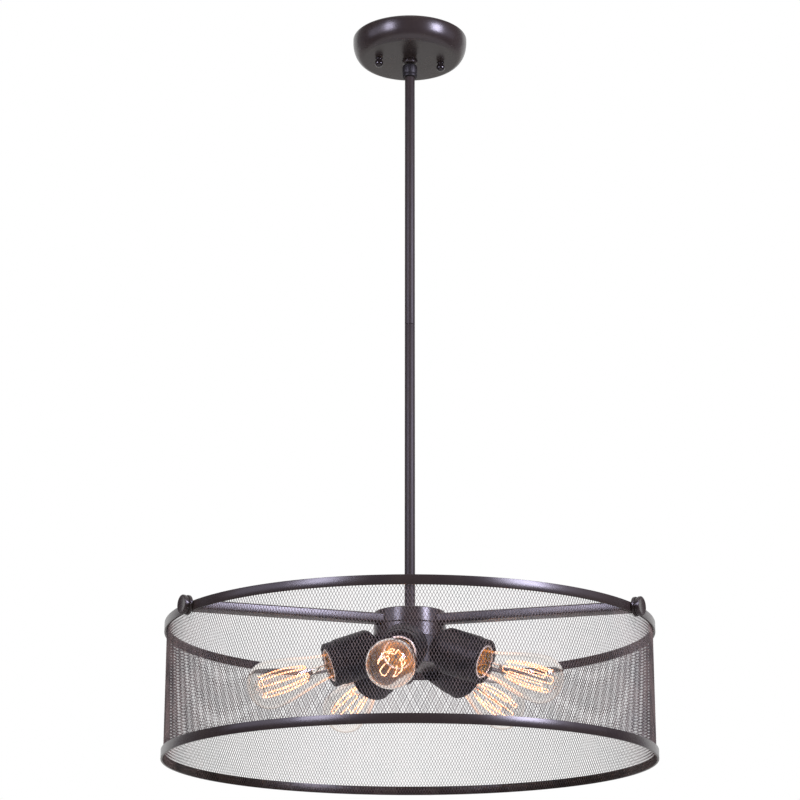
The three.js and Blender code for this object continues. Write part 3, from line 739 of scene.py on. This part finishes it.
class CHANDELIER_OT_hub(Operator):
    """Turn the two hubs, their cover and the finial"""

    bl_idname = "chandelier.hub"
    bl_label = "Hub"

    def execute(self, context):
        bore, sides = 5.8, 112
        top, lip, seam, foot = 16, 0.7, -13.5, -41.3
        outer = ARM_HUB_RADIUS / MM
        inner = outer - HUB_WALL
        profile = [(inner, 1), (outer - 0.5, 1), (outer, 1.5),
                   *arc(outer - 1.2, top - 1.2, 1.2, 0, 90, 5), (bore, top),
                   (bore, top - HUB_WALL), (inner, top - HUB_WALL), (inner, 1)]
        cap = turned("arm_hub_turned", profile, sides)
        cut_with(cap, *[settle(arm_root_cutter(), about_z(turn)) for turn in ARM_TURNS])
        bronzed(settle(smooth(cap), drum_place()), "arm_hub")
        outer = SOCKET_HUB_RADIUS / MM
        inner = outer - HUB_WALL
        profile = [(inner, seam), (outer - 0.5, seam), (outer, seam + 0.5), (outer, 0),
                   (outer - lip, lip), (bore, lip), (bore, lip - HUB_WALL),
                   (inner, lip - HUB_WALL), (inner, seam)]
        collar = turned("socket_hub_collar", profile, sides)
        bronzed(settle(smooth(collar), drum_place()))
        profile = [(inner, foot), (outer - 0.4, foot), (outer, foot + 0.4), (outer, seam - 0.6),
                   (outer - 0.5, seam - 0.1), (inner, seam - 0.1), (inner, foot)]
        body = turned("socket_hub_turned", profile, sides)
        tools = [settle(plug("wire_hole", 4, 18, 42), drum_place().inverted() @ socket_place(index))
                 for index in range(5)]
        settle(smooth(cut_with(body, *tools)), drum_place())
        dress(body, "stem", "dark_bronze", "barrel_paint", "socket_hub")
        edge = inner - SLIP_GAP
        profile = [(3.1, foot + 1.6), (3.1, foot), (10, foot), (11.5, foot + 0.3),
                   (edge - 1.4, foot + 0.3), (edge, foot + 0.7), (edge, foot + 1.6),
                   (3.1, foot + 1.6)]
        cover = rounded(turned("hub_cover_turned", profile, 96), 0.2 * MM, 2)
        bronzed(settle(smooth(cover), drum_place()), "hub_cover")
        profile = [(0, foot - 4.3), (2.6, foot - 4.1), (5.2, foot - 3.5), (7.4, foot - 2.5),
                   (8.4, foot - 1.7), (8.7, foot - 1.5), *arc(9.3, foot - 0.9, 0.6, -80, 90, 5),
                   (2.8, foot - 0.3), (2.8, foot + 16.7), (0, foot + 16.7)]
        finial = turned("finial_turned", profile, 48)
        bronzed(settle(smooth(finial, SOFT), drum_place()), "finial")
        repaint(["hickey"], "zinc_plate")
        return {"FINISHED"}


def arm_end():
    """Where an arm's corners stop inside the drum wall, in millimetres from the axis."""
    corner = DRUM_RADIUS / MM - 3.9
    return math.sqrt(corner ** 2 - (ARM_WIDTH / 2) ** 2)


def arm_place():
    """Tilt a level arm about its outer end and lower it to the height of the knobs."""
    end = arm_end()
    slope = math.atan2(ARM_RISE + KNOB_DROP / MM, end - SOCKET_HUB_RADIUS / MM)
    return moved(end * MM, -KNOB_DROP) @ about_y(slope) @ moved(-end * MM)


def arm_root_cutter():
    """The space an arm's root takes out of the upper hub."""
    side, top = ARM_WIDTH / 2 + SLIP_GAP, ARM_DEPTH / 2 + SLIP_GAP
    piece = bar("arm_root_space", (12, -side, -14), (60, side, top))
    return settle(rounded(piece, 1.9 * MM, 4), arm_place())


class CHANDELIER_OT_arms(Operator):
    """Shape one flat arm, copy it, and turn the knobs on its ends"""

    bl_idname = "chandelier.arms"
    bl_label = "Arms and knobs"

    def execute(self, context):
        side, top = ARM_WIDTH / 2, ARM_DEPTH / 2
        arm = rounded(bar("arm", (17, -side, -top), (arm_end(), side, top)), 1.7 * MM, 5)
        settle(arm, arm_place())
        knob_profile = [
            (0, 6.1), (2.3, 6.1), (2.3, 0.3), *arc(9.3, 0.8, 0.5, -90, 0, 3),
            *arc(9.3, 2.6, 0.5, 0, 90, 3), (8.4, 3.5), (8.2, 3.9), (8.2, 5.3),
            (8.4, 5.7), *arc(9.3, 6.2, 0.5, -90, 0, 3), *arc(8.9, 7.8, 0.9, 0, 90, 4),
            (7.2, 8.65), (6.8, 8.5), (0, 8.45)]
        wall = DRUM_RADIUS / MM
        knob = turned("knob", [(radius, wall + height) for radius, height in knob_profile], 64)
        settle(knob, moved(up=-KNOB_DROP) @ about_y(math.pi / 2))
        for index, turn in enumerate(ARM_TURNS, 1):
            twin = smooth(copied(arm, f"arm_{index}_bar", drum_place(turn)))
            bronzed(twin, f"arm_{index}")
            twin = smooth(copied(knob, f"knob_{index}_turned", drum_place(turn)))
            bronzed(twin, f"knob_{index}", body=f"knob_{index}")
            repaint([f"knob_stud_{index}"], "zinc_plate")
        discard(arm, knob)
        return {"FINISHED"}


class CHANDELIER_OT_bands(Operator):
    """Roll the drum's top and bottom bands"""

    bl_idname = "chandelier.bands"
    bl_label = "Bands"

    def execute(self, context):
        height, thick = context.scene.chandelier_sizes.band_height / MM, 2
        outer = DRUM_RADIUS / MM
        for name in ("top_band", "bottom_band"):
            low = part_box(name)[0].z / MM
            profile = tube(outer - thick, outer, low, low + height)
            band = rounded(turned(f"{name}_rolled", profile, 256), 0.3 * MM, 2)
            bronzed(smooth(band), name)
        return {"FINISHED"}


class CHANDELIER_OT_mesh_wall(Operator):
    """Cut one pair of diamonds, array them into a sector and repeat the sector"""

    bl_idname = "chandelier.mesh_wall"
    bl_label = "Expanded metal wall"

    def execute(self, context):
        sizes = context.scene.chandelier_sizes
        sectors, radius, weld = 6, 251.2 * MM, 0.03 * MM
        columns = sizes.mesh_columns // sectors
        column_turn = FULL_TURN / sizes.mesh_columns
        half_width = radius * math.tan(column_turn / 2)
        height = (DRUM_HEIGHT - MM) / (sizes.mesh_rows + 0.5)
        bottom = DRUM_TOP - DRUM_HEIGHT + MM / 2
        cell = begin("mesh_cell", bpy.ops.mesh.primitive_circle_add, vertices=4,
                     radius=1, fill_type="NGON")
        bpy.ops.transform.resize(value=(half_width, height / 2, 1), center_override=(0, 0, 0))
        bpy.ops.mesh.inset(thickness=sizes.strand_width / 2, use_even_offset=True)
        bpy.ops.mesh.delete(type="FACE")
        pick(cell, lambda place: abs(place.x) < MERGE and MERGE < place.y < height / 2 - MERGE)
        bpy.ops.transform.translate(value=(0, 0, sizes.strand_slant))
        pick(cell, lambda place: abs(place.x) < MERGE and -height / 2 + MERGE < place.y < -MERGE)
        bpy.ops.transform.translate(value=(0, 0, -sizes.strand_slant))
        bpy.ops.object.mode_set(mode="OBJECT")
        upright = Matrix.Rotation(math.pi / 2, 4, "X")
        settle(cell, Matrix.Translation((0, -radius, bottom + height / 2)) @ upright)
        step = about_z(column_turn / 2) @ moved(up=height / 2)
        beside = copied(cell, "mesh_cell_beside", step)
        pair = joined("mesh_pair", [cell, beside])
        modified(pair, "ARRAY", count=sizes.mesh_rows, use_relative_offset=False,
                 use_constant_offset=True, constant_offset_displace=(0, 0, height))
        bpy.ops.object.select_all(action="DESELECT")
        bpy.ops.object.empty_add(location=(0, 0, 0))
        turn = bpy.context.object
        turn.rotation_euler = (0, 0, column_turn)
        bpy.context.view_layer.update()
        modified(pair, "ARRAY", count=columns, use_relative_offset=False,
                 use_object_offset=True, offset_object=turn)
        discard(turn)
        activate(pair)
        bpy.ops.object.mode_set(mode="EDIT")
        close_edit(weld)
        modified(pair, "SOLIDIFY", thickness=sizes.sheet_thickness, offset=0,
                 use_even_offset=True)
        for index in range(sectors):
            place = about_z(FULL_TURN * index / sectors)
            piece = copied(pair, f"mesh_wall_sector_{index + 1}", place)
            nodes = ["mesh_wall"] if index == 0 else []
            dress(piece, "stem", "mesh", "mesh_bronze_paint", *nodes)
        discard(pair)
        return {"FINISHED"}


class CHANDELIER_OT_sockets(Operator):
    """Turn one socket cup with its lined mouth and place it five times"""

    bl_idname = "chandelier.sockets"
    bl_label = "Sockets"

    def execute(self, context):
        mouth = MOUTH / MM
        back = mouth - 44
        wide = context.scene.chandelier_sizes.cup_radius / MM
        profile = [
            (4, back - 13), (wide - 9.1, back - 13), *arc(wide - 9, back, 9, -88, 0, 8),
            (wide, mouth - 12.4), (wide - 0.3, mouth - 12.0), (wide - 0.9, mouth - 12.0),
            *arc(wide - 1.9, mouth - 1, 1, 0, 90, 4), (19.8, mouth), (19.2, mouth - 0.8),
            (17.3, mouth - 0.8), (17.3, mouth - 38.3), (4, mouth - 38.3), (4, back - 13)]
        cup = turned("socket_cup", profile, 72)
        hub = begin("hub_side", bpy.ops.mesh.primitive_cylinder_add, vertices=112,
                    radius=SOCKET_HUB_RADIUS + 0.2 * MM, depth=200 * MM)
        close_edit()
        settle(hub, about_y(-math.pi / 2 - SOCKET_TILT))
        cut_with(cup, hub)
        profile = [
            (0, mouth - 38), (17, mouth - 38), (17, mouth - 5), (15.6, mouth - 4.4),
            (15.4, mouth - 3), *arc(16.1, mouth - 1.7, 0.8, 200, 20, 6),
            (15.6, mouth - 3.2), (14.4, mouth - 4.6),
            *thread(14.3, 13.5, mouth - 6, mouth - 27.8, SCREW_PITCH), (13.6, mouth - 34),
            (0, mouth - 34)]
        shell = turned("socket_shell", profile, 64)
        rim = turned("socket_rim", arc(16.4, mouth - 1.05, 1.05, -140, 220, 16), 72)
        at_sockets((
            (cup, "socket_cup_{}_turned", "black_socket", "socket_black", "socket_cup_{}"),
            (shell, "lampholder_{}_shell", "lampholder", "socket_lining", "lampholder_{}"),
            (rim, "lampholder_{}_rim", "lampholder", "socket_rim"),
        ), "stem")
        return {"FINISHED"}


def glass_outline(widest_radius, inset, steps):
    """Bulb outline from neck to tip in millimetres, drawn in by the glass wall for the inside."""
    mouth = MOUTH / MM
    wide = widest_radius - inset
    neck_radius = 12.3 - inset
    neck_end = mouth - 13
    widest = mouth + 65
    start = Vector((neck_radius, neck_end + 7))
    points = [(neck_radius, neck_end)]
    handles = [start, start + Vector((0, 25)), Vector((wide, widest - 25)), Vector((wide, widest))]
    for step in range(steps + 1):
        share = step / steps
        rest = 1 - share
        weights = (rest ** 3, 3 * rest * rest * share, 3 * rest * share * share, share ** 3)
        point = sum((handle * weight for handle, weight in zip(handles, weights)), Vector((0, 0)))
        points.append((point.x, point.y))
    for step in range(1, steps + 1):
        angle = math.pi / 2 * step / steps
        points.append((wide * math.cos(angle), widest + (23 - inset) * math.sin(angle)))
    points[-1] = (0, points[-1][1])
    return points


class CHANDELIER_OT_bulbs(Operator):
    """Model one bulb with its base, glass, stem and filament cage, and place it five times"""

    bl_idname = "chandelier.bulbs"
    bl_label = "Bulbs"

    def base(self):
        low = BULB_FOOT / MM
        high = low + 25
        profile = [(0, low + 0.9), (5.4, low + 0.8), (8.6, low + 2.6), (11.6, low + 4.2),
                   (12.4, low + 5), *thread(12.4, 13.2, low + 5.2, high - 5.2, SCREW_PITCH),
                   (12.6, high - 4.6), (12.9, high - 4), (13.1, high - 0.6),
                   *arc(12.75, high - 0.4, 0.35, 0, 180, 4), (12.4, high - 6),
                   (12.2, high - 19), (0, high - 19)]
        return turned("bulb_base", profile, 56)

    def insulator(self):
        low = BULB_FOOT / MM
        profile = [(0, low), (3.2, low), (5.6, low + 0.5), (8.7, low + 2.5), (0, low + 2.7)]
        return turned("bulb_insulator", profile, 40)

    def glass(self, sizes):
        widest = sizes.glass_radius / MM
        outside = glass_outline(widest, 0, 22)
        inside = glass_outline(widest, GLASS_WALL, 20)
        return turned("bulb_glass", [*outside, *reversed(inside), outside[0]], 72)

    def stem(self):
        mouth = MOUTH / MM
        low = mouth - 12.7
        profile = [(0, low), (11.1, low), (10.6, low + 1.2), (7.6, low + 4.5), (4.6, low + 8.5),
                   (2.9, low + 12.5), (2.4, low + 16), (2.4, mouth + 14), (3.0, mouth + 16.5),
                   (2.7, mouth + 18.2), (1.4, mouth + 19), (0, mouth + 19)]
        return turned("bulb_stem", profile, 32)

    def legs(self, count):
        """Corners of the cage: each leg's points in metres, near end first."""
        steps = 7
        first, twist = math.radians(7), math.radians(4)
        legs = []
        for leg in range(count):
            points = []
            for step in range(steps + 1):
                share = step / steps
                radius = 8.2 + 3.2 * share + 2.4 * math.sin(math.pi * share)
                angle = first + FULL_TURN * leg / count + twist * share
                height = MOUTH / MM + 25.5 + 46.5 * share
                corner = Vector((radius * math.cos(angle), radius * math.sin(angle), height))
                points.append(corner * MM)
            legs.append(points)
        return legs

    def bend(self, legs, number):
        """Where the strand turns from one leg to the next: at the far end after an even leg."""
        end, spread, rise = (-1, 1.12, 1.5) if number % 2 == 0 else (0, 0.86, -1.2)
        middle = (legs[number][end] + legs[(number + 1) % len(legs)][end]) / 2
        return Vector((middle.x * spread, middle.y * spread, middle.z + rise * MM))

    def filament(self, legs, radius):
        chain = []
        for number, points in enumerate(legs):
            chain += points if number % 2 == 0 else points[::-1]
            chain.append(self.bend(legs, number))
        del chain[-2:]
        return wire("bulb_filament", chain, radius)

    def supports(self, legs):
        rod, hook, lead = 0.55 * MM, 0.22 * MM, 0.35 * MM
        near = Vector((0, 0, MOUTH + 18.4 * MM))
        far = Vector((0, 0, MOUTH + 71 * MM))
        wires = [wire("support_rod", [near, far], rod)]
        for number in range(0, len(legs), 2):
            tip = self.bend(legs, number)
            bent = far * 0.98 + Vector((tip.x, tip.y, 0)) * 0.35
            bent.z = far.z + 1.2 * MM
            wires.append(wire("far_hook", [far, bent, tip], hook))
        for number in range(1, len(legs), 2):
            wires.append(wire("near_hook", [near, self.bend(legs, number)], hook))
        for number, side in ((0, 1), (len(legs) - 1, -1)):
            foot = Vector((1.9 * side * MM, 0, MOUTH + 7 * MM))
            elbow = (foot + legs[number][0]) / 2 + Vector((0, 0, 1.5 * MM))
            wires.append(wire("lead", [foot, elbow, legs[number][0]], lead))
        return joined("bulb_supports", wires)

    def execute(self, context):
        sizes = context.scene.chandelier_sizes
        legs = self.legs(sizes.filament_legs)
        at_sockets((
            (self.base(), "bulb_{}_base_shell", "brass", "brass_shell", "bulb_base_{}"),
            (self.insulator(), "bulb_{}_insulator", "brass", "black_glass"),
            (self.glass(sizes), "bulb_{}_glass_blown", "bulb_glass", "bulb_glass_clear",
             "bulb_glass_{}"),
            (self.stem(), "bulb_{}_glass_stem", "bulb_glass", "bulb_glass_clear",
             "bulb_filament_{}"),
            (self.filament(legs, sizes.filament_radius), "bulb_{}_filament_cage", "filament",
             "filament_glow"),
            (self.supports(legs), "bulb_{}_supports", "filament", "support_wire"),
        ), "bulb_{}", SOFT)
        repaint([f"bulb_contact_{number}" for number in range(1, 6)], "zinc_plate")
        return {"FINISHED"}


class CHANDELIER_OT_stage(Operator):
    """Set up the floor, the dark curtain, the soft lamps, the white surroundings and the camera"""

    bl_idname = "chandelier.stage"
    bl_label = "Stage"

    def floor(self, colours):
        floor = begin("studio_floor", bpy.ops.mesh.primitive_circle_add, vertices=64,
                      radius=40, fill_type="NGON")
        bpy.ops.object.mode_set(mode="OBJECT")
        settle(floor, moved(up=-2.7))
        material, tree, shader = new_material("pale_floor")
        paling = level_by_ray(tree, ("Is Camera Ray", "Is Transmission Ray"), 0.16, 0.56)
        shaded(tree, shader, Base_Color=(*colours.floor, 1), Roughness=0.8,
               Emission_Color=(1, 0.92, 0.84, 1), Emission_Strength=paling)
        clear = node(tree, "ShaderNodeBsdfTransparent")
        facing = node(tree, "ShaderNodeNewGeometry").outputs["Backfacing"]
        mix = node(tree, "ShaderNodeMixShader", {
            0: facing, 1: shader.outputs[0], 2: clear.outputs[0]})
        tree.links.new(mix.outputs[0], tree.nodes["Material Output"].inputs["Surface"])
        floor.data.materials.append(material)

    def curtain(self):
        """A dark curtain round the camera's side that only reflections see."""
        cloth = begin("dark_curtain", bpy.ops.mesh.primitive_cylinder_add, vertices=96,
                      radius=3.3, depth=6.5, end_fill_type="NOTHING")
        pick(cloth, lambda place: place.y > 2.3)
        bpy.ops.mesh.delete(type="VERT")
        close_edit()
        material, tree, shader = new_material("dark_cloth")
        place = node(tree, "ShaderNodeSeparateXYZ", {
            0: node(tree, "ShaderNodeTexCoord").outputs["Object"]})
        paling = node(tree, "ShaderNodeMapRange", {
            "Value": place.outputs["Y"], "From Min": 0.3, "From Max": 2.3,
            "To Min": 0.02, "To Max": 0.5})
        shaded(tree, shader, Base_Color=paling.outputs["Result"], Roughness=1)
        cloth.data.materials.append(material)
        for ray in ("camera", "diffuse", "transmission", "shadow"):
            setattr(cloth, f"visible_{ray}", False)

    def lamp(self, name, azimuth, distance, height, width, tall, radiance, colour):
        """A soft lamp that faces the drum; azimuth runs from the camera's side to the right."""
        turn = math.radians(azimuth)
        place = Vector((distance * math.sin(turn), -distance * math.cos(turn), height))
        bpy.ops.object.select_all(action="DESELECT")
        bpy.ops.object.light_add(type="AREA", location=place)
        lamp = bpy.context.object
        lamp.name = name
        lamp.data.shape = "RECTANGLE"
        lamp.data.size = width
        lamp.data.size_y = tall
        lamp.data.energy = radiance * math.pi * width * tall
        lamp.data.color = colour
        aim = Vector((0, 0, -0.5)) - place
        lamp.rotation_euler = aim.to_track_quat("-Z", "Y").to_euler()
        lamp.visible_camera = False
        lamp.visible_transmission = False

    def world(self):
        world = bpy.data.worlds.new("white_studio")
        bpy.context.scene.world = world
        world.use_nodes = True
        tree = world.node_tree
        rays = ("Is Camera Ray", "Is Glossy Ray", "Is Transmission Ray")
        shaded(tree, tree.nodes["Background"], Color=(1, 1, 1, 1),
               Strength=level_by_ray(tree, rays, 0.44, 1.0))

    def camera(self):
        distance, drop, tilt = 2.4026, 0.4852, 0.29623
        bpy.ops.object.select_all(action="DESELECT")
        bpy.ops.object.camera_add(location=(0, -distance, DRUM_TOP - drop))
        camera = bpy.context.object
        camera.name = "photo_camera"
        camera.rotation_euler = (math.pi / 2 + tilt, 0, 0)
        camera.data.lens = 105.5
        camera.data.shift_x = -0.0123
        camera.data.clip_start = 0.05
        camera.data.clip_end = 100
        bpy.context.scene.camera = camera

    def execute(self, context):
        scene = context.scene
        scene.view_settings.view_transform = "Standard"
        colours = scene.chandelier_colours
        self.floor(colours)
        self.curtain()
        self.lamp("right_softbox", 53, 2.0, 0.1, 0.62, 0.84, 36, colours.lamp)
        self.lamp("left_softbox", -40, 2.0, 0.08, 0.55, 0.88, 20, colours.lamp)
        self.lamp("right_wash", 80, 2.2, 0.0, 1.2, 0.9, 0.7, colours.lamp)
        self.lamp("left_wash", -66, 2.2, 0.0, 1.6, 0.9, 1.8, colours.lamp)
        self.world()
        self.camera()
        return {"FINISHED"}


class CHANDELIER_PT_panel(Panel):
    """Sizes, colours and the operators that make each group of pieces"""

    bl_label = "Drum chandelier"
    bl_idname = "CHANDELIER_PT_panel"
    bl_space_type = "VIEW_3D"
    bl_region_type = "UI"
    bl_category = "Chandelier"

    def draw(self, context):
        for group in (context.scene.chandelier_sizes, context.scene.chandelier_colours):
            for key in group.bl_rna.properties.keys():
                if key not in ("rna_type", "name"):
                    self.layout.prop(group, key)
        for operator in OPERATORS:
            self.layout.operator(operator.bl_idname)


OPERATORS = (
    CHANDELIER_OT_finishes, CHANDELIER_OT_stage, CHANDELIER_OT_canopy, CHANDELIER_OT_swivel,
    CHANDELIER_OT_stem, CHANDELIER_OT_hub, CHANDELIER_OT_arms, CHANDELIER_OT_bands,
    CHANDELIER_OT_mesh_wall, CHANDELIER_OT_sockets, CHANDELIER_OT_bulbs,
)
CLASSES = (ChandelierSizes, ChandelierColours, *OPERATORS, CHANDELIER_PT_panel)


def register():
    for kind in CLASSES:
        bpy.utils.register_class(kind)
    bpy.types.Scene.chandelier_sizes = PointerProperty(type=ChandelierSizes)
    bpy.types.Scene.chandelier_colours = PointerProperty(type=ChandelierColours)


def unregister():
    del bpy.types.Scene.chandelier_colours
    del bpy.types.Scene.chandelier_sizes
    for kind in reversed(CLASSES):
        bpy.utils.unregister_class(kind)


def main():
    """Make every group of pieces in order."""
    register()
    bpy.ops.chandelier.finishes()
    bpy.ops.chandelier.stage()
    bpy.ops.chandelier.canopy()
    bpy.ops.chandelier.swivel()
    bpy.ops.chandelier.stem()
    bpy.ops.chandelier.hub()
    bpy.ops.chandelier.arms()
    bpy.ops.chandelier.bands()
    bpy.ops.chandelier.mesh_wall()
    bpy.ops.chandelier.sockets()
    bpy.ops.chandelier.bulbs()


if __name__ == "__main__":
    main()
